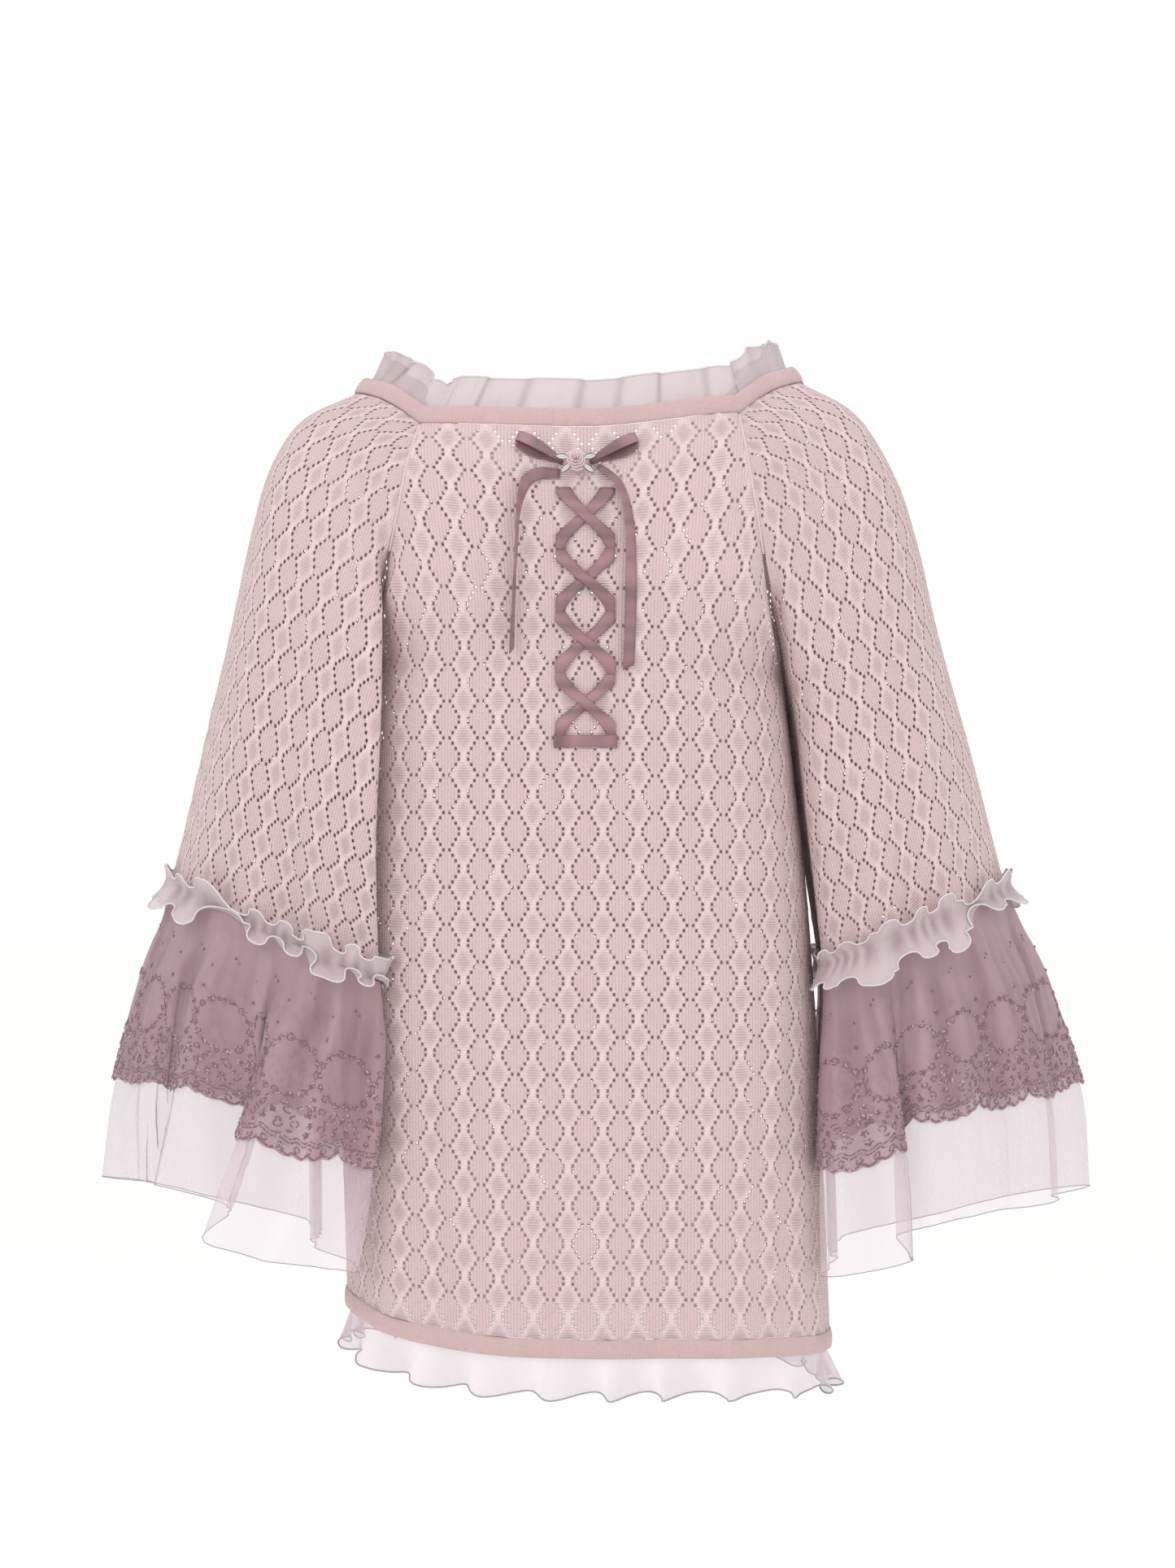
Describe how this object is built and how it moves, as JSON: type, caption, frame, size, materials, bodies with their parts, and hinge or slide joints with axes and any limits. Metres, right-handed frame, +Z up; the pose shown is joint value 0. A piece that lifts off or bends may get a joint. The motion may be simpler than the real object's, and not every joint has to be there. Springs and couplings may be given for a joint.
{
  "type": "knit cape pullover",
  "caption": "Raglan pullover in lace knit with wide bell sleeves, flounced cuffs, neck and hem ruffles and a laced back.",
  "frame": {"origin": "where the wearer's shoulders hold the garment, on its centre line", "axes": "+Z up, the front faces -Y, the back +Y, and the wearer's left is +X"},
  "size_m": [0.6774, 0.2618, 0.7128],
  "materials": {
    "lace_knit": "fine pointelle knit, matt, soft",
    "rib_knit": "close rib knit, matt",
    "grey_chiffon": "crinkled chiffon, sheer, faint sheen",
    "pale_chiffon": "chiffon, very sheer, faint sheen",
    "mauve_lace": "embroidered tulle and chiffon, semi-sheer",
    "satin_ribbon": "satin ribbon, glossy along its length",
    "rose_cloth": "satin cloth, soft sheen",
    "leaf_cloth": "silvery woven cloth, soft sheen"
  },
  "bodies": {
    "root": {"back_panel": "lace_knit", "bow_loop_left": "satin_ribbon", "bow_loop_right": "satin_ribbon", "bow_tail_left": "satin_ribbon", "bow_tail_right": "satin_ribbon", "chiffon_flounce_left": "pale_chiffon", "chiffon_flounce_right": "pale_chiffon", "front_panel": "lace_knit", "heading_left": "grey_chiffon", "heading_right": "grey_chiffon", "hem_band": "rib_knit", "hem_ruffle": "pale_chiffon", "lace_flounce_left": "mauve_lace", "lace_flounce_right": "mauve_lace", "lacing_foot": "satin_ribbon", "lacing_over_1": "satin_ribbon", "lacing_over_2": "satin_ribbon", "lacing_over_3": "satin_ribbon", "lacing_over_4": "satin_ribbon", "lacing_under_1": "satin_ribbon", "lacing_under_2": "satin_ribbon", "lacing_under_3": "satin_ribbon", "lacing_under_4": "satin_ribbon", "leaf_1": "leaf_cloth", "leaf_2": "leaf_cloth", "leaf_3": "leaf_cloth", "leaf_4": "leaf_cloth", "neck_band": "rib_knit", "neck_ruffle": "grey_chiffon", "rose": "rose_cloth", "sleeve_left": "lace_knit", "sleeve_right": "lace_knit"}
  },
  "joints": []
}
